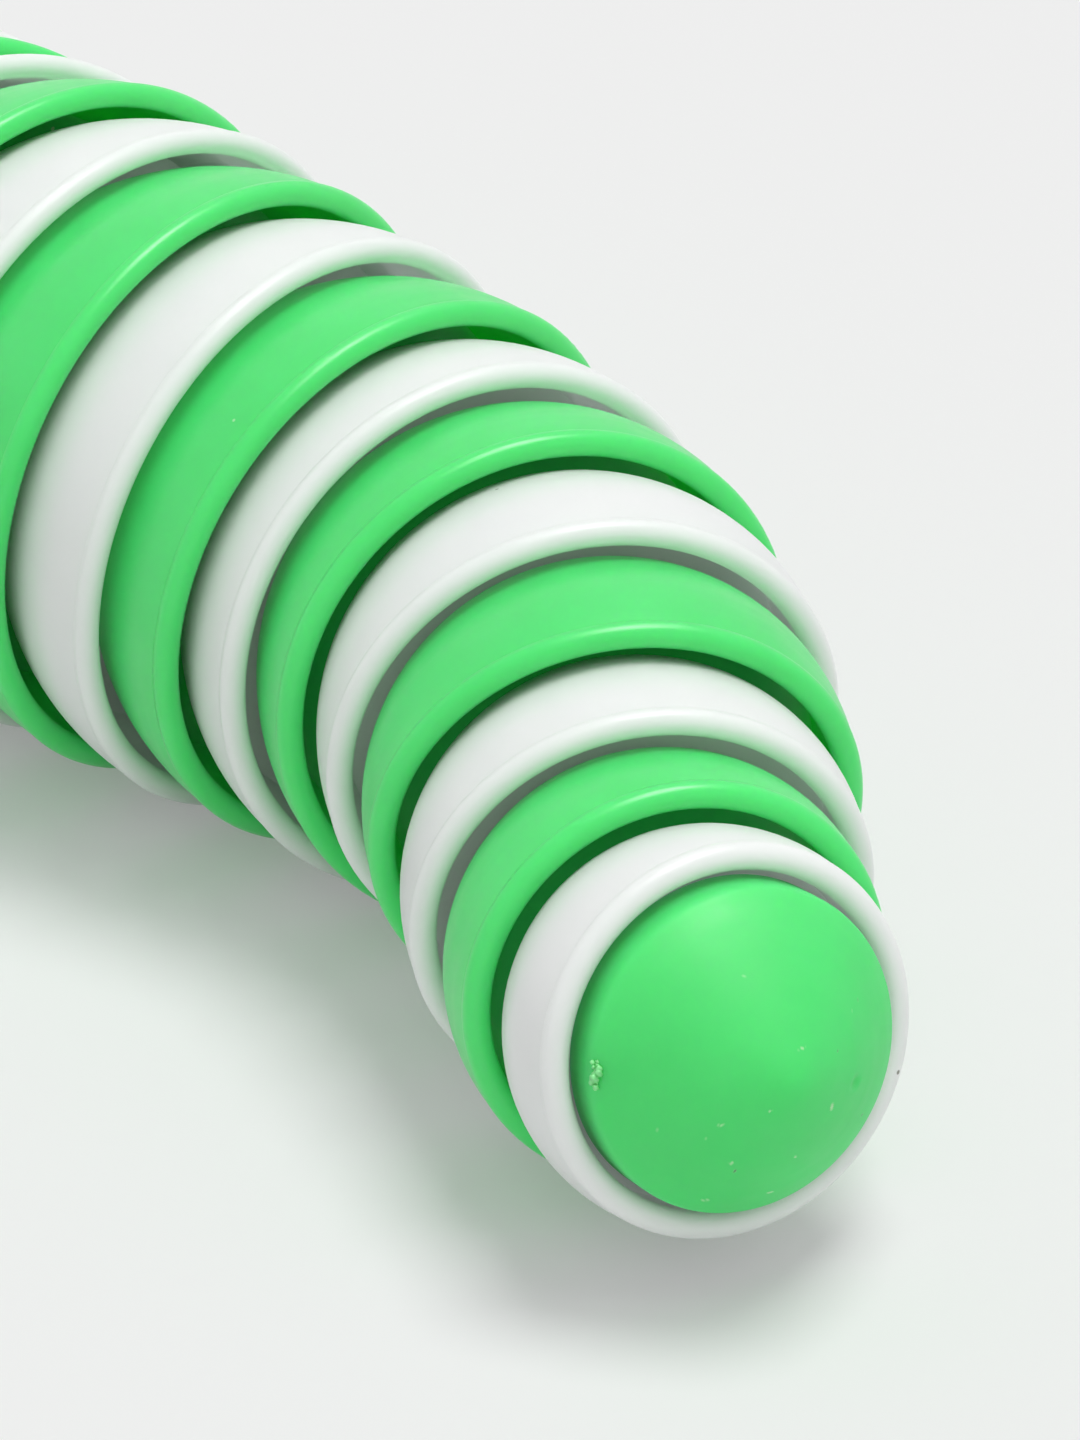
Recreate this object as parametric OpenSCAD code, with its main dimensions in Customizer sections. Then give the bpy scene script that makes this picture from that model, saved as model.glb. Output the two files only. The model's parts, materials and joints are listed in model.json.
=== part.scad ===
// Jointed toy slug: a chain of bowl-shaped rings in two colours, lying in a curve on the floor.
// The round back of each ring sits in the mouth of the next one, and a ball and socket on the
// ring's axis holds each pair together and lets it bend. The first ring is closed by a round
// cap, and the last ring is a closed bowl, the head.
// Millimetres. X runs to the right, Y runs from the tail to the head, and the floor is Z = 0.

/* [Body] */
// Distance from one ring's mouth to the next along a straight body
ring_pitch = 7.4; // [7.2:0.1:8]
// Radius of the first ring, at the tail
tail_radius = 10.7; // [10.5:0.1:11.5]
// Radius of the widest ring
belly_radius = 20; // [19:0.1:21]
// Radius of the round head
head_radius = 13.6; // [13:0.1:15]
// Rings from the tail to the widest one
belly_count = 12; // [11:1:13]
// How full the body stays from the belly to the tail, where 1 is a straight taper
tail_fullness = 1.24; // [1.1:0.01:1.5]
// How full the body stays from the belly to the head, where 1 is a straight taper
head_fullness = 1.6; // [1.4:0.01:1.8]

/* [Ring] */
// Thickness of a ring's bowl
wall = 1.3; // [1:0.1:1.4]
// Thickness of the rounded lip round a ring's mouth, a little more than the bowl's
lip = 1.5; // [1.5:0.1:2]
// Clear gap between a ring's lip and the bowl that turns in it
mouth_gap = 0.75; // [0.5:0.05:1]
// Angle that a bowl reaches behind the next lip when the joint is fully bent
overlap_angle = 1; // [0.5:0.1:2]
// Thickness of the floor that carries a ring's socket
floor_thickness = 1.3; // [1:0.1:1.6]

/* [Joint] */
// Angle that each joint bends from straight
bend_limit = 14; // [13.5:0.1:14.2]
// Radius of the ball on the front of each ring
ball_radius = 1.7; // [1.5:0.05:1.9]
// Running clearance between ball and socket
ball_clearance = 0.15; // [0.1:0.01:0.2]
// Thickness of the socket and of the neck that carries it
socket_wall = 0.85; // [0.7:0.05:1]
// How far the socket reaches behind the ball's centre, which keeps the ball in
socket_grip = 0.95; // [0.8:0.05:1.1]
// Radius of the stem that carries the ball
stem_radius = 1; // [0.8:0.05:1.1]
// Clear gap left between the inner pieces of neighbouring rings when fully bent
swing_gap = 0.4; // [0.3:0.05:0.6]

/* [Tail cap] */
// Radius of the round cap that closes the tail
cap_radius = 10; // [9.6:0.1:10.4]
// How far the cap stands out of the first ring's mouth
cap_nose = 4.3; // [4.1:0.1:4.5]
// How far the cap's rim reaches into that mouth
cap_depth = 1.3; // [1:0.1:1.6]
// Radius of the peg on the first ring that holds the cap
peg_radius = 2.4; // [2:0.1:2.5]
// Length of that peg from the ring's turning point
peg_length = 5; // [4.6:0.1:5.2]
// Clearance of the cap's sleeve on the peg
peg_clearance = 0.03; // [0.01:0.01:0.05]
// Radius of the small dimple that moulding leaves on the cap
dimple_radius = 0.7; // [0.3:0.1:1]
// Depth of that dimple
dimple_depth = 0.2; // [0.1:0.05:0.3]
// Angle of the dimple off the cap's nose
dimple_angle = 29; // [0:1:45]

/* [Pose] */
// Mean direction of the body, turned from straight ahead
heading_angle = 29.3; // [0:0.1:45]
// How far the body swings to each side of that mean
swing_angle = 19.3; // [0:0.1:20]
// Rings from the tail to where the body points least to the side
bend_start_count = 3.7; // [3:0.1:4.5]
// Rings from there to where it points most to the side
bend_count = 6; // [5.8:0.1:8]
// Rings from there back to straight again, towards the head
return_count = 10; // [9.5:0.1:14]
// Height of the first ring off the floor
tail_lift = 2.5; // [2.2:0.1:2.8]
// Rings from the tail to where its own lift ends
lift_count = 3.9; // [3.7:0.1:4.2]
// Upward tilt of the first ring
tail_tilt = 11.5; // [8:0.5:12]
// Height of the low wave in which the body lies behind the tail
wave_height = 1.5; // [0:0.1:1.6]
// Rings from one end of that wave to the other
wave_count = 5.6; // [5.5:0.1:6.2]
// Rings from the tail to the wave's top
wave_top_count = 4.5; // [4.4:0.1:4.8]

/* [Hidden] */
$fn = 96;
green = [0.27, 0.86, 0.43];
white = [0.93, 0.93, 0.93];
// Places are counted from the tail: rings first, then the head.
ring_count = 19;
head_place = ring_count + 1;
function two_digits(i) = str(i < 10 ? "0" : "", i);
function ring_name(i) = str("ring_", two_digits(i));

// Outer radius of the bowl at each place along the body
function taper(full, end, share, power) = full - (full - end) * pow(share, power);
function bowl_radius(i) =
    i <= belly_count
    ? taper(belly_radius, tail_radius, (belly_count - i) / (belly_count - 1), tail_fullness)
    : taper(belly_radius, head_radius, (i - belly_count) / (head_place - belly_count), head_fullness);

// A bowl is part of a sphere, and the sphere's centre is the turning point of the joint behind it.
// turn_height is that point's height over the ring's own mouth. It puts the next ring's lip one
// mouth gap outside the sphere, so that the gap stays even however the joint bends. A lip is a
// bead along the middle of its bowl's wall.
function lip_centre_radius(i, height) = sqrt(pow(bowl_radius(i) - wall / 2, 2) - pow(height + lip / 2, 2));
function turn_height(i) =
    i == head_place
    ? 0
    : sqrt(pow(bowl_radius(i) + mouth_gap + lip / 2, 2)
           - pow(lip_centre_radius(i + 1, turn_height(i + 1)), 2)) - lip / 2 - ring_pitch;
turn_heights = [for (i = [0:head_place]) i == 0 ? 0 : turn_height(i)];
lip_radii = [for (i = [0:head_place]) i == 0 ? 0 : lip_centre_radius(i, turn_heights[i])];

// Distance between the turning points at the two ends of a ring
function link(i) = ring_pitch + turn_heights[i - 1] - turn_heights[i];

// Angle, behind the sphere's widest circle, at which a bowl ends
function skirt_angle(i) =
    atan2(ring_pitch + turn_heights[i] + lip / 2, lip_radii[i + 1]) + bend_limit + overlap_angle;

// Depth of a ring's inner floor behind its turning point, clear of what swings in front of it
function floor_front(i) =
    i == 1
    ? socket_grip
    : swing_gap + bowl_radius(i - 1) * sin(skirt_angle(i - 1) + bend_limit) - link(i);
function floor_back(i) = floor_front(i) + floor_thickness;

// Ball joint: the socket's inside and outside, and the opening that the stem swings in
socket_inside = ball_radius + ball_clearance;
socket_outside = socket_inside + socket_wall;
rim_radius = sqrt(pow(socket_inside, 2) - pow(socket_grip, 2));

// The neck widens from the socket to the floor, just enough for the next ring's stem, socket and
// neck to swing in it. Points here are [radius, depth behind this ring's turning point].
function swung(point) =
    [point[0] * cos(bend_limit) + point[1] * sin(bend_limit),
     point[1] * cos(bend_limit) - point[0] * sin(bend_limit)];
function neck_top(i) = i == head_place ? [stem_radius, 0] : [rim_radius + socket_wall, socket_grip];
function neck_foot(i) =
    [i == head_place ? socket_outside : neck_end(i) + socket_wall, floor_back(i)];
function next_top(i) = swung(neck_top(i + 1) + [0, link(i + 1)]);
function next_foot(i) = swung(neck_foot(i + 1) + [0, link(i + 1)]);
function stem_reach(i) = stem_radius / cos(bend_limit) + floor_back(i) * tan(bend_limit) + swing_gap;
function socket_reach(i) =
    let (centre = swung([0, link(i + 1)]) - [rim_radius, socket_grip],
         angle = atan2(centre[0], centre[1]) + asin((socket_outside + swing_gap) / norm(centre)))
    rim_radius + (floor_back(i) - socket_grip) * tan(angle);
function neck_reach(i) =
    let (top = next_top(i), slope = next_foot(i) - top)
    top[0] + (floor_back(i) - top[1]) * slope[0] / slope[1] + swing_gap;
function neck_end(i) =
    max(stem_reach(i),
        i < ring_count && floor_back(i) > link(i + 1) - socket_outside ? socket_reach(i) : 0,
        floor_back(i) > next_top(i)[1] ? neck_reach(i) : 0);
function neck_inside(i, depth) =
    rim_radius + (neck_end(i) - rim_radius) * (depth - socket_grip) / (floor_back(i) - socket_grip);

// Pose: heading and height of each turning point, and the chain of links between them
peak_place = bend_start_count + bend_count;
function bend_phase(i) =
    i < peak_place ? 180 * (i - bend_start_count) / bend_count : 180 + 180 * (i - peak_place) / return_count;
function heading(i) = heading_angle - swing_angle * cos(bend_phase(i));
function wave_phase(i) = 360 * (i - wave_top_count) / wave_count;
function wave(i) = abs(wave_phase(i)) < 180 ? wave_height * (1 + cos(wave_phase(i))) / 2 : 0;
function lift(i) = tail_lift * pow(max(0, (lift_count - i) / (lift_count - 1)), 2) + wave(i);
function turn_z(i) = bowl_radius(i) + (lip - wall) / 2 + lift(i);
function tilt(i) = i == 1 ? tail_tilt : asin((turn_z(i - 1) - turn_z(i)) / link(i));
function direction(i) =
    [sin(heading(i)) * cos(tilt(i)), -cos(heading(i)) * cos(tilt(i)), sin(tilt(i))];
function turn_point(i) =
    i == 1 ? [0, 0, turn_z(1)] : turn_point(i - 1) - link(i) * direction(i);
turn_points = [for (i = [0:head_place]) i == 0 ? [0, 0, 0] : turn_point(i)];

// The body's own box, to put the origin at the middle of its underside: bowls reach furthest to the
// left, lips to the right, the cap to the front and the head to the back.
cap_height = cap_nose - cap_radius - turn_heights[1];
cap_centre = turn_points[1] + cap_height * direction(1);
function bowl_left(i) = turn_points[i][0] - bowl_radius(i);
function lip_right(i) =
    turn_points[i][0] - (turn_heights[i] + lip / 2) * direction(i)[0]
    + lip_radii[i] * cos(heading(i)) + lip / 2;
left = min([for (i = [1:head_place]) bowl_left(i)]);
right = max([for (i = [1:head_place]) lip_right(i)]);
front = cap_centre[1] - cap_radius;
back = turn_points[head_place][1] + head_radius;
origin = [(left + right) / 2, (front + back) / 2, 0];

// Stands a shape, drawn round the Z axis with its turning point at zero, at its place in the body
module at_place(i) {
    translate(turn_points[i] - origin)
        rotate([0, 90 - tilt(i), heading(i) - 90])
            children();
}

module right_half(size) {
    intersection() {
        children();
        translate([0, -2 * size])
            square([2 * size, 4 * size]);
    }
}

// The bowl, its lip and its inner floor, with the turning point at zero and the mouth upwards
module bowl(i, closed) {
    radius = bowl_radius(i);
    lip_height = -turn_heights[i] - lip / 2;
    far = 4 * radius;
    rotate_extrude()
        right_half(radius)
            difference() {
                circle(radius);
                circle(radius - wall);
                translate([-far / 2, lip_height])
                    square(far);
                if (!closed)
                    polygon([[0, 0], far * [cos(skirt_angle(i)), -sin(skirt_angle(i))], [0, -2 * far]]);
            }
    rotate_extrude()
        translate([lip_radii[i], lip_height])
            circle(lip / 2);
    intersection() {
        sphere(radius - wall / 2);
        funnel(floor_front(i), radius, floor_back(i), radius);
    }
}

// A ring's front: a ball on a stem, which the ring in front holds
module ball_stem(i) {
    cylinder(h = link(i), r = stem_radius);
    translate([0, 0, link(i)])
        sphere(ball_radius);
}

// A round piece along the axis that widens downwards, between two depths behind the turning point
module funnel(top_depth, top_radius, end_depth, end_radius) {
    translate([0, 0, -end_depth])
        cylinder(h = end_depth - top_depth, r1 = end_radius, r2 = top_radius);
}

// The hollow of the socket and, behind it, of the neck, right through the floor
module socket_bore(i) {
    past_floor = floor_back(i) + socket_outside;
    sphere(socket_inside);
    funnel(0, neck_inside(i, 0), past_floor, neck_inside(i, past_floor));
}

module ring(i) {
    neck_depth = floor_back(i) - floor_thickness / 2;
    neck_radius = neck_inside(i, neck_depth) + socket_wall;
    color(i % 2 == 0 ? green : white)
        at_place(i)
            difference() {
                union() {
                    bowl(i, closed = false);
                    funnel(socket_grip, rim_radius + socket_wall, neck_depth, neck_radius);
                    sphere(socket_outside);
                    if (i == 1)
                        cylinder(h = peg_length, r = peg_radius);
                    else
                        ball_stem(i);
                }
                socket_bore(i);
            }
}

// The head's stem widens into its inner floor
module head() {
    i = head_place;
    color(i % 2 == 0 ? green : white)
        at_place(i) {
            bowl(i, closed = true);
            ball_stem(i);
            funnel(0, stem_radius, floor_back(i) - floor_thickness / 2, socket_outside);
        }
}

// The cap is a round shell with a sleeve inside that is pressed on the first ring's peg
module cap_section() {
    sleeve_inside = peg_radius + peg_clearance;
    sleeve_front = socket_outside + swing_gap;
    right_half(2 * cap_radius)
        difference() {
            translate([0, cap_height])
                union() {
                    difference() {
                        circle(cap_radius);
                        circle(cap_radius - wall);
                        translate([-2 * cap_radius, cap_radius - cap_nose - cap_depth - 4 * cap_radius])
                            square(4 * cap_radius);
                    }
                    intersection() {
                        circle(cap_radius - wall / 2);
                        translate([0, sleeve_front - cap_height])
                            square([sleeve_inside + wall, 2 * cap_radius]);
                    }
                }
            square([sleeve_inside, peg_length + swing_gap]);
        }
}

module tail_cap() {
    dimple_ball = (pow(dimple_radius, 2) + pow(dimple_depth, 2)) / (2 * dimple_depth);
    color(green)
        at_place(1)
            difference() {
                rotate_extrude()
                    cap_section();
                translate([0, 0, cap_height])
                    rotate([-dimple_angle, 0, 0])
                        translate([0, 0, cap_radius + dimple_ball - dimple_depth])
                            sphere(dimple_ball);
            }
}

tail_cap();
for (i = [1:ring_count])
    ring(i);
head();
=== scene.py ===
"""Looks of a jointed toy slug: nested green and white plastic rings on a pale floor.

Lengths are metres in the part's own frame: X to the right, Y from the tail to the head, Z up.
"""
import json
import math
import random

import bmesh
import bpy
from mathutils import Matrix, Vector


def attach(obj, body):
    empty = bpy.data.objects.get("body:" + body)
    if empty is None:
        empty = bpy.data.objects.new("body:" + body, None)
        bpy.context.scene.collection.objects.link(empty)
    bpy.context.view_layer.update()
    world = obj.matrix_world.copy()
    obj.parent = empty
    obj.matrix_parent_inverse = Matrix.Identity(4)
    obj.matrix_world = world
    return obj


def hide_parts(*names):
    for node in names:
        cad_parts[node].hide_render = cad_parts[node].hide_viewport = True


# Camera, as the photograph was taken: straight along Y and from above
CAMERA_TARGET = Vector((0.0219, -0.03103, 0.01477))
CAMERA_ELEVATION = math.radians(27.42)
CAMERA_DISTANCE = 0.3072
CAMERA_LENS_MM = 135.4
CAMERA_SENSOR_MM = 36.0
CAMERA_NEAR = 0.01

# Light: a dome and a soft lamp above and a little to the right, together about 1 on the floor, and a small
# lamp for the glints. Lamps in front, above and round the sides leave the floor out, so that its shadow
# stays close to the body, and shine through the sheer white rings into the gaps
DOME_HORIZON = 0.28
DOME_OVERHEAD = 0.46
KEY_STRENGTH = 1.5
KEY_SOFTNESS = math.radians(28)
KEY_DIRECTION = Vector((-0.18, -0.06, -1.0))
GLINT_STRENGTH = 0.15
GLINT_SOFTNESS = math.radians(10)
GLINT_DIRECTION = Vector((-0.1, 0.3, -1.0))
FRONT_STRENGTH = 0.25
FRONT_SOFTNESS = math.radians(25)
FRONT_DIRECTION = Vector((0.05, 0.86, -0.5))
LEAK_STRENGTH = 0.33
LEAK_SOFTNESS = math.radians(60)
LEAK_DIRECTION = Vector((0.1, 0.2, -1.0))
FILL_STRENGTH = 0.42
FILL_SOFTNESS = math.radians(120)
FILL_DIRECTIONS = [Vector((0.8, 0.6, -0.1)), Vector((-0.8, 0.6, -0.1)), Vector((0, -1, -0.1))]

# Colours, linear
GREEN = (0.055, 0.74, 0.165)
GREEN_DEEP = (0.045, 0.685, 0.145)
GREEN_SPECK = (0.5, 0.82, 0.45)
WHITE = (0.79, 0.797, 0.797)
WHITE_DEEP = (0.765, 0.775, 0.778)
WHITE_SPECK = (0.2, 0.2, 0.17)
DARK_SPECK = (0.03, 0.07, 0.03)
BACKDROP = (0.863, 0.863, 0.863)
FLOOR = (0.935, 0.935, 0.935)
FLOOR_SIZE = 6.0

# How far the floor is lifted to the backdrop's colour where it is looked at
FLOOR_LIFT = 0.25

# How rough the plastic is, where it is most worn smooth and where it is most scuffed
RING_ROUGHNESS = (0.29, 0.4)
CAP_ROUGHNESS = (0.48, 0.6)

# The two plastics: depth, scatter and reach say how light spreads under the skin
LOOKS = {
    "green_plastic": {"colour": GREEN, "deep": GREEN_DEEP, "speck": GREEN_SPECK, "depth": 0.9,
                      "scatter": (0.3, 1.0, 0.45), "reach": 0.003, "gloss": 0.75, "rough": RING_ROUGHNESS},
    "white_plastic": {"colour": WHITE, "deep": WHITE_DEEP, "speck": WHITE_SPECK, "depth": 0.9,
                      "scatter": (1.0, 1.0, 1.0), "reach": 0.0026, "gloss": 0.5, "rough": RING_ROUGHNESS},
}

# Patterns in the plastic, in cells to the metre, and where they begin and end
CLOUD_SCALE = 110.0
CLOUD_DETAIL = 3.0
CLOUD_RAMP = (0.3, 0.62)
SPECK_SCALE = 300.0
SPECK_SIZE = 0.05
SPECK_CORE = 0.6
SPECK_RARITY = 0.72
SPECK_CUTOFF = 0.02
STREAK_SCALE = 45.0
STREAK_STRETCH = (1, 1, 24)
HAZE_SCALE = 500.0
FINE_DETAIL = 2.0
NOISE_ROUGHNESS = 0.55
WEAR_RANGE = (0.7, 1.3)
BUMP_STRENGTH = 0.04
BUMP_HEIGHT = 0.00003
PLASTIC_IOR = 1.52

# The tail cap's outer skin, measured along its axis from the first ring's turning point
CAP_NOSE = 0.0097
CAP_RIM = 0.00145
CAP_RADIUS = 0.0096
CAP_WALL = 0.0013
CAP_NOSE_WALLS = 1.5
CAP_EDGE = 0.0008
CAP_EDGE_START = 0.25
CAP_EDGE_TURNS = 6
CAP_RIM_RADIUS = 0.0087
CAP_BALL_SHARE = 0.4
CAP_CONE_SLOPE = 0.8
CAP_CONE_ROUNDING = 0.0012
CAP_STEPS = 84
CAP_SIDES = 256

# Marks on the cap: right and up from its nose, half width and half height, all in millimetres
MM_PER_M = 1000
MARK_SHARPNESS = 2
PALE_MARKS = [
    (2.5, -2.3, 0.13, 0.3), (-2.8, -4.4, 0.14, 0.1), (-3.6, -1.9, 0.2, 0.07), (-6.2, -2.1, 0.1, 0.06),
    (-1.4, -1.3, 0.12, 0.06), (0.7, -4.9, 0.08, 0.1), (-3.4, -7.0, 0.22, 0.07), (0.1, -7.3, 0.25, 0.09),
    (0.6, 1.6, 0.3, 0.05), (-4.2, -2.7, 0.09, 0.05), (4.6, 2.1, 0.08, 0.06), (-1.2, 5.2, 0.07, 0.07),
]
DARK_MARKS = [(-2.5, -5.0, 0.1, 0.12), (3.0, 0.7, 0.06, 0.08), (5.3, 2.4, 0.06, 0.07), (5.6, -4.4, 0.07, 0.1)]

# A small dent in the cap, with its place in millimetres, and a crumbly burr on the cap's rim
DENT_PLACE = (4.4, -1.7)
DENT_RADIUS = 0.00055
DENT_DEPTH = 0.00022
BURR_ANGLE = math.radians(174)
BURR_SPREAD = math.radians(9)
BURR_LUMPS = 16
BURR_SEED = 4
BURR_SIZE = (0.00008, 0.00022)
BURR_OUT = (-0.0002, 0.00012)
BURR_UP = (0.0, 0.0004)
BURR_UNEVEN = 0.35
BURR_EDGE_TURN = 2
BURR_COLOUR = (0.42, 0.84, 0.42)
BURR_DEEP = (0.2, 0.78, 0.26)


def add_node(tree, kind, **inputs):
    """A shader node, with its input sockets set by name"""
    node = tree.nodes.new(kind)
    for name, value in inputs.items():
        node.inputs[name.replace("_", " ")].default_value = value
    return node


def remap(tree, source, low, high, to_low, to_high):
    """A socket's value, taken from one range to another and kept inside it"""
    node = add_node(tree, "ShaderNodeMapRange", From_Min=low, From_Max=high, To_Min=to_low, To_Max=to_high)
    tree.links.new(source, node.inputs["Value"])
    return node.outputs["Result"]


def combine(tree, operation, first, second):
    """Two sockets joined by a sum, a product or the like"""
    node = tree.nodes.new("ShaderNodeMath")
    node.operation = operation
    tree.links.new(first, node.inputs[0])
    tree.links.new(second, node.inputs[1])
    return node.outputs["Value"]


def tinted(tree, mask, below, above):
    """One colour over another, where the mask says"""
    node = tree.nodes.new("ShaderNodeMix")
    node.data_type = "RGBA"
    tree.links.new(mask, node.inputs["Factor"])
    tree.links.new(below, node.inputs[6])
    if isinstance(above, tuple):
        node.inputs[7].default_value = (*above, 1)
    else:
        tree.links.new(above, node.inputs[7])
    return node.outputs[2]


def noise(tree, place, scale, detail, stretch=(1, 1, 1)):
    """Cloudy noise round a place, stretched along the place's own axes"""
    squeeze = tree.nodes.new("ShaderNodeMapping")
    squeeze.inputs["Scale"].default_value = stretch
    tree.links.new(place, squeeze.inputs["Vector"])
    texture = add_node(tree, "ShaderNodeTexNoise", Scale=scale, Detail=detail, Roughness=NOISE_ROUGHNESS)
    tree.links.new(squeeze.outputs["Vector"], texture.inputs["Vector"])
    return texture.outputs["Fac"]


def specks(tree, place):
    """A few small round specks, as a mask"""
    cells = add_node(tree, "ShaderNodeTexVoronoi", Scale=SPECK_SCALE)
    tree.links.new(place, cells.inputs["Vector"])
    dots = remap(tree, cells.outputs["Distance"], SPECK_SIZE * SPECK_CORE, SPECK_SIZE, 1, 0)
    chosen = remap(tree, cells.outputs["Color"], SPECK_RARITY, SPECK_RARITY + SPECK_CUTOFF, 0, 1)
    return combine(tree, "MULTIPLY", dots, chosen)


def plastic(name, look, pivot, axis, painted=False):
    """Semi-gloss moulded plastic with a little depth: cloudy colour, specks, streaks round the ring's axis"""
    material = bpy.data.materials.new(name)
    material.use_nodes = True
    tree = material.node_tree
    shader = tree.nodes["Principled BSDF"]

    turn = axis_frame(axis).transposed()
    coordinates = tree.nodes.new("ShaderNodeTexCoord")
    ring_place = tree.nodes.new("ShaderNodeMapping")
    ring_place.inputs["Rotation"].default_value = turn.to_euler()
    ring_place.inputs["Location"].default_value = -(turn @ pivot)
    tree.links.new(coordinates.outputs["Object"], ring_place.inputs["Vector"])
    place = ring_place.outputs["Vector"]

    cloud = noise(tree, place, CLOUD_SCALE, CLOUD_DETAIL)
    tint = tree.nodes.new("ShaderNodeValToRGB")
    for stop, position, shade in zip(tint.color_ramp.elements, CLOUD_RAMP, ("deep", "colour")):
        stop.position = position
        stop.color = (*look[shade], 1)
    tree.links.new(cloud, tint.inputs["Fac"])
    dotted = tinted(tree, specks(tree, place), tint.outputs["Color"], look["speck"])
    if painted:
        paint = tree.nodes.new("ShaderNodeVertexColor")
        paint.layer_name = "marks"
        dotted = tinted(tree, paint.outputs["Alpha"], dotted, paint.outputs["Color"])
    tree.links.new(dotted, shader.inputs["Base Color"])

    streak = noise(tree, place, STREAK_SCALE, FINE_DETAIL, stretch=STREAK_STRETCH)
    haze = noise(tree, place, HAZE_SCALE, FINE_DETAIL)
    wear = combine(tree, "ADD", streak, haze)
    tree.links.new(remap(tree, wear, *WEAR_RANGE, *look["rough"]), shader.inputs["Roughness"])

    bump = add_node(tree, "ShaderNodeBump", Strength=BUMP_STRENGTH, Distance=BUMP_HEIGHT)
    tree.links.new(haze, bump.inputs["Height"])
    tree.links.new(bump.outputs["Normal"], shader.inputs["Normal"])

    shader.inputs["IOR"].default_value = PLASTIC_IOR
    shader.inputs["Specular IOR Level"].default_value = look["gloss"]
    shader.inputs["Subsurface Weight"].default_value = look["depth"]
    shader.inputs["Subsurface Radius"].default_value = look["scatter"]
    shader.inputs["Subsurface Scale"].default_value = look["reach"]
    return material


def axis_frame(axis):
    """Right, up and along a ring's axis, as the columns of a matrix"""
    right = Vector((0, 0, 1)).cross(axis).normalized()
    return Matrix((right, axis.cross(right), axis)).transposed()


def surface_centre(piece):
    """Middle of a piece's skin, which lies on the axis of a round piece"""
    faces = piece.data.polygons
    whole = sum(face.area for face in faces)
    return sum((face.center * face.area for face in faces), Vector()) / whole


def ring_axes(frame):
    """Turning point and axis of each piece, from the joints and from the round ends"""
    points = [Vector(joint["pos_m"]) for joint in frame["record"]["behaviour"]["joints"]]
    tail = (points[0], (surface_centre(frame["nodes"]["tail_cap"]) - points[0]).normalized())
    head = (points[-1], (points[-1] - surface_centre(frame["nodes"]["head"])).normalized())
    axes = {"tail_cap": tail, "ring_01": tail, "head": head}
    for place in range(1, len(points)):
        axes[f"ring_{place + 1:02d}"] = (points[place], (points[place - 1] - points[place]).normalized())
    return axes


def dress_rings(frame, axes):
    """Gives each moulded piece its plastic, by the slot that the record names for it"""
    for subpart in frame["record"]["subparts"]:
        node = subpart["node"]
        slot = subpart["material_slot"]
        piece = frame["nodes"][node]
        piece.data.materials.clear()
        piece.data.materials.append(plastic(f"{slot}_{node}", LOOKS[slot], *axes[node]))


def pieces_in(frame, slot):
    """The moulded pieces that the record gives one slot"""
    subparts = frame["record"]["subparts"]
    return [frame["nodes"][subpart["node"]] for subpart in subparts if subpart["material_slot"] == slot]


def cap_height(radius):
    """Height of the cap's skin: between a ball and a cone with a round tip"""
    ball = CAP_NOSE - CAP_RADIUS + math.sqrt(CAP_RADIUS ** 2 - radius ** 2)
    cone = CAP_NOSE - CAP_CONE_SLOPE * (math.hypot(radius, CAP_CONE_ROUNDING) - CAP_CONE_ROUNDING)
    return CAP_BALL_SHARE * ball + (1 - CAP_BALL_SHARE) * cone


def cap_slope(radius):
    """Angle by which the cap's skin falls away from its nose"""
    ball = radius / math.sqrt(CAP_RADIUS ** 2 - radius ** 2)
    cone = CAP_CONE_SLOPE * radius / math.hypot(radius, CAP_CONE_ROUNDING)
    return math.atan(CAP_BALL_SHARE * ball + (1 - CAP_BALL_SHARE) * cone)


def cap_profile():
    """Radius and height from the nose over the rim's round edge to the inner wall"""
    rim = CAP_RIM_RADIUS
    start = cap_slope(rim - CAP_EDGE * CAP_EDGE_START)
    shoulder = rim - CAP_EDGE * (1 - math.sin(start))
    profile = []
    for step in range(CAP_STEPS + 1):
        radius = shoulder * step / CAP_STEPS
        profile.append((radius, cap_height(radius)))
    top = profile[-1][1]
    for turn in range(1, CAP_EDGE_TURNS + 1):
        angle = start + (math.pi / 2 - start) * turn / CAP_EDGE_TURNS
        radius = shoulder + CAP_EDGE * (math.sin(angle) - math.sin(start))
        profile.append((radius, top - CAP_EDGE * (math.cos(start) - math.cos(angle))))
    profile.append((rim, CAP_RIM))
    profile.append((rim - CAP_WALL, CAP_RIM))
    profile.append((rim - CAP_WALL, top - CAP_WALL))
    profile.append((0, CAP_NOSE - CAP_WALL * CAP_NOSE_WALLS))
    return profile


def near(place, centre, half_size):
    """1 at the middle of a small oval mark, falling to 0 at its edge"""
    across = (place[0] - centre[0]) / half_size[0]
    along = (place[1] - centre[1]) / half_size[1]
    return max(0.0, min(1.0, MARK_SHARPNESS * (1 - math.hypot(across, along))))


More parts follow.
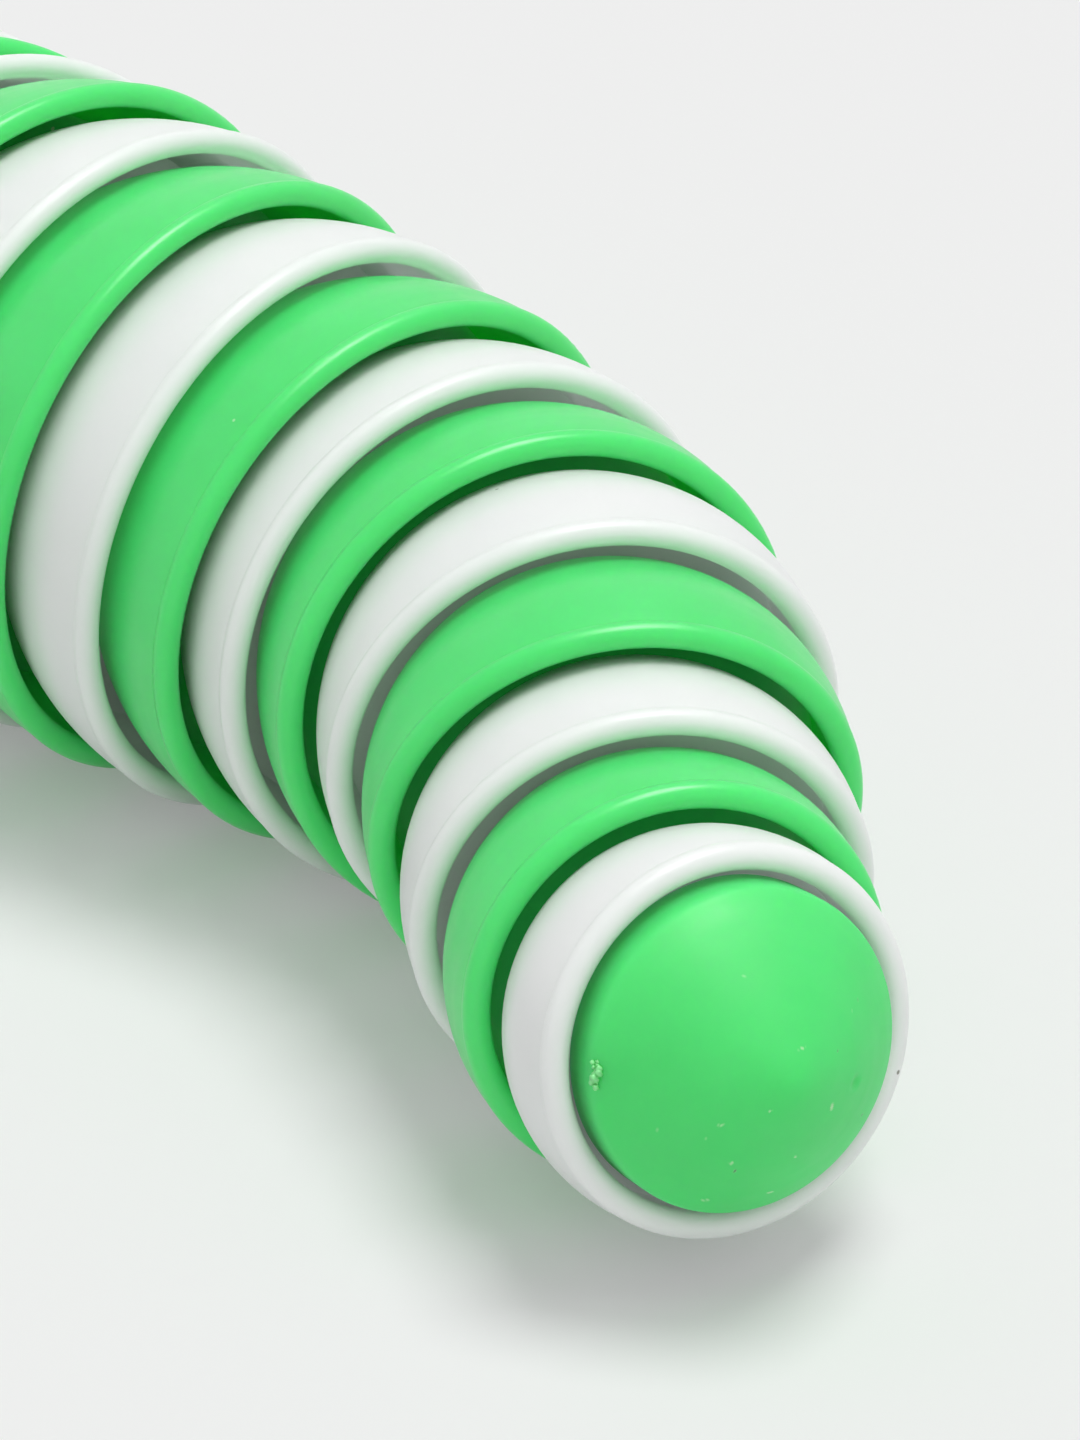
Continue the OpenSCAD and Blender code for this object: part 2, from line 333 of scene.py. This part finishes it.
def make_cap(axes):
    """The tail cap with its soft pointed nose, a small dent and the marks of use"""
    pivot, axis = axes["tail_cap"]
    stand = axis_frame(axis)
    mesh = bpy.data.meshes.new("cap_skin")
    shape = bmesh.new()
    paint = shape.verts.layers.float_color.new("marks")

    def vertex(radius, height, angle):
        """A point of the skin, sunk where the dent is and painted where a mark is"""
        across = Vector((radius * math.cos(angle), radius * math.sin(angle)))
        from_dent = (across - Vector(DENT_PLACE) / MM_PER_M).length / DENT_RADIUS
        if height > CAP_RIM and from_dent < 1:
            height -= DENT_DEPTH * (1 - from_dent ** 2) ** 2
        point = shape.verts.new(pivot + stand @ Vector((across.x, across.y, height)))
        colour = (*GREEN_SPECK, 0)
        for marks, tone in ((PALE_MARKS, GREEN_SPECK), (DARK_MARKS, DARK_SPECK)):
            for right, up, half_width, half_height in marks:
                cover = near(across * MM_PER_M, (right, up), (half_width, half_height))
                if cover > colour[3]:
                    colour = (*tone, cover)
        point[paint] = colour
        return point

    rows = []
    for radius, height in cap_profile():
        if radius == 0:
            rows.append([vertex(0, height, 0)] * CAP_SIDES)
        else:
            rows.append([vertex(radius, height, math.tau * side / CAP_SIDES) for side in range(CAP_SIDES)])
    for outer, inner in zip(rows, rows[1:]):
        for side in range(CAP_SIDES):
            after = (side + 1) % CAP_SIDES
            corners_in_turn = [outer[side], inner[side], inner[after], outer[after]]
            face = shape.faces.new(list(dict.fromkeys(corners_in_turn)))
            face.smooth = True
    bmesh.ops.recalc_face_normals(shape, faces=shape.faces)
    shape.to_mesh(mesh)
    shape.free()
    cap = bpy.data.objects.new("cap_skin", mesh)
    bpy.context.scene.collection.objects.link(cap)
    skin = {**LOOKS["green_plastic"], "rough": CAP_ROUGHNESS}
    mesh.materials.append(plastic("green_plastic_cap", skin, pivot, axis, painted=True))
    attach(cap, "ring_01")
    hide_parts("tail_cap")


def make_burr(axes):
    """A crumbly bit of moulding flash on the cap's rim"""
    pivot, axis = axes["tail_cap"]
    stand = axis_frame(axis)
    rim, height = cap_profile()[CAP_STEPS + BURR_EDGE_TURN]
    chance = random.Random(BURR_SEED)
    mesh = bpy.data.meshes.new("cap_burr")
    shape = bmesh.new()
    for lump in range(BURR_LUMPS):
        angle = BURR_ANGLE + BURR_SPREAD * (lump / (BURR_LUMPS - 1) - 0.5)
        size = chance.uniform(*BURR_SIZE)
        radius = rim + chance.uniform(*BURR_OUT)
        level = height + chance.uniform(*BURR_UP)
        middle = Vector((radius * math.cos(angle), radius * math.sin(angle), level))
        made = bmesh.ops.create_icosphere(shape, subdivisions=2, radius=size)
        for point in made["verts"]:
            rough = 1 + chance.uniform(-BURR_UNEVEN, BURR_UNEVEN)
            point.co = pivot + stand @ (middle + point.co * rough)
    for face in shape.faces:
        face.smooth = True
    shape.to_mesh(mesh)
    shape.free()
    burr = bpy.data.objects.new("cap_burr", mesh)
    bpy.context.scene.collection.objects.link(burr)
    crumbs = {**LOOKS["green_plastic"], "colour": BURR_COLOUR, "deep": BURR_DEEP, "depth": 0}
    mesh.materials.append(plastic("green_plastic_burr", crumbs, pivot, axis))
    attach(burr, "ring_01")


def looked_at(tree):
    """1 where a ray comes from the camera or off a mirroring or clear surface"""
    path = tree.nodes.new("ShaderNodeLightPath").outputs
    mirrored = combine(tree, "MAXIMUM", path["Is Glossy Ray"], path["Is Transmission Ray"])
    return combine(tree, "MAXIMUM", path["Is Camera Ray"], mirrored)


def make_floor():
    """A plain pale floor, with its shadow a little lifted"""
    bpy.ops.mesh.primitive_plane_add(size=FLOOR_SIZE)
    floor = bpy.context.object
    floor.name = "floor"
    material = bpy.data.materials.new("floor")
    material.use_nodes = True
    tree = material.node_tree
    shader = tree.nodes["Principled BSDF"]
    shader.inputs["Base Color"].default_value = (*FLOOR, 1)
    shader.inputs["Roughness"].default_value = 1.0
    shader.inputs["Specular IOR Level"].default_value = 0.0
    glow = add_node(tree, "ShaderNodeEmission", Color=(*BACKDROP, 1), Strength=1.0)
    mix = tree.nodes.new("ShaderNodeMixShader")
    tree.links.new(remap(tree, looked_at(tree), 0, 1, 0, FLOOR_LIFT), mix.inputs["Fac"])
    tree.links.new(shader.outputs["BSDF"], mix.inputs[1])
    tree.links.new(glow.outputs["Emission"], mix.inputs[2])
    tree.links.new(mix.outputs["Shader"], tree.nodes["Material Output"].inputs["Surface"])
    floor.data.materials.append(material)
    return floor


def make_dome():
    """A white dome of light, brighter overhead, which shows the backdrop's colour where it is looked at"""
    world = bpy.data.worlds.new("dome")
    bpy.context.scene.world = world
    world.use_nodes = True
    tree = world.node_tree
    light = tree.nodes["Background"]
    light.inputs["Color"].default_value = (1, 1, 1, 1)
    coordinates = tree.nodes.new("ShaderNodeTexCoord")
    parts = tree.nodes.new("ShaderNodeSeparateXYZ")
    tree.links.new(coordinates.outputs["Generated"], parts.inputs["Vector"])
    level = remap(tree, parts.outputs["Z"], 0, 1, DOME_HORIZON, DOME_OVERHEAD)
    tree.links.new(level, light.inputs["Strength"])
    seen = add_node(tree, "ShaderNodeBackground", Color=(*BACKDROP, 1), Strength=1.0)
    mix = tree.nodes.new("ShaderNodeMixShader")
    tree.links.new(looked_at(tree), mix.inputs["Fac"])
    tree.links.new(light.outputs["Background"], mix.inputs[1])
    tree.links.new(seen.outputs["Background"], mix.inputs[2])
    tree.links.new(mix.outputs["Shader"], tree.nodes["World Output"].inputs["Surface"])


def passed_over(name, pieces):
    """Pieces that a lamp passes over, as a collection of its own"""
    kept = bpy.data.collections.new(name)
    for piece in pieces:
        kept.objects.link(piece)
    for entry in kept.collection_objects:
        entry.light_linking.link_state = "EXCLUDE"
    return kept


def make_lamp(name, strength, softness, direction, mirrored=False):
    """A lamp far away, and whether surfaces mirror it"""
    lamp = bpy.data.lights.new(name, "SUN")
    lamp.energy = strength
    lamp.angle = softness
    holder = bpy.data.objects.new(name, lamp)
    holder.rotation_euler = direction.to_track_quat("-Z", "Y").to_euler()
    holder.visible_glossy = mirrored
    bpy.context.scene.collection.objects.link(holder)
    return holder


def make_fill(name, strength, softness, direction, floor, sheer):
    """A lamp that leaves the floor out and shines through the sheer pieces"""
    holder = make_lamp(name, strength, softness, direction)
    holder.light_linking.receiver_collection = passed_over(f"{name}_leaves_out", [floor])
    holder.light_linking.blocker_collection = passed_over(f"{name}_goes_through", sheer)


def make_camera():
    """The photograph's camera"""
    lens = bpy.data.cameras.new("camera")
    lens.lens = CAMERA_LENS_MM
    lens.sensor_width = CAMERA_SENSOR_MM
    lens.clip_start = CAMERA_NEAR
    camera = bpy.data.objects.new("camera", lens)
    away = Vector((0, -math.cos(CAMERA_ELEVATION), math.sin(CAMERA_ELEVATION)))
    camera.location = CAMERA_TARGET + CAMERA_DISTANCE * away
    camera.rotation_euler = (-away).to_track_quat("-Z", "Y").to_euler()
    bpy.context.scene.collection.objects.link(camera)
    bpy.context.scene.camera = camera


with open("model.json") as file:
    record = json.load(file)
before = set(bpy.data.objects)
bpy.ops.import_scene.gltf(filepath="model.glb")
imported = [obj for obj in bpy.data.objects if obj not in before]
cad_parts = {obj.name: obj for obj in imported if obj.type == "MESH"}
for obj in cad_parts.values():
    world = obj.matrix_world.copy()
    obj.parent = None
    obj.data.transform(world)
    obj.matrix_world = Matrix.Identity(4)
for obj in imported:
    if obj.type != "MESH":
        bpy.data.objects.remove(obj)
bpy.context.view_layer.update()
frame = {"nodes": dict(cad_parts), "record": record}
bpy.context.scene.view_settings.view_transform = "Standard"
axes = ring_axes(frame)
dress_rings(frame, axes)
make_cap(axes)
make_burr(axes)
floor = make_floor()
make_dome()
make_lamp("key", KEY_STRENGTH, KEY_SOFTNESS, KEY_DIRECTION, mirrored=True)
make_lamp("glint", GLINT_STRENGTH, GLINT_SOFTNESS, GLINT_DIRECTION, mirrored=True)
sheer = pieces_in(frame, "white_plastic")
make_fill("front", FRONT_STRENGTH, FRONT_SOFTNESS, FRONT_DIRECTION, floor, sheer)
make_fill("leak", LEAK_STRENGTH, LEAK_SOFTNESS, LEAK_DIRECTION, floor, sheer)
for number, direction in enumerate(FILL_DIRECTIONS, 1):
    make_fill(f"fill_{number}", FILL_STRENGTH, FILL_SOFTNESS, direction, floor, sheer)
make_camera()
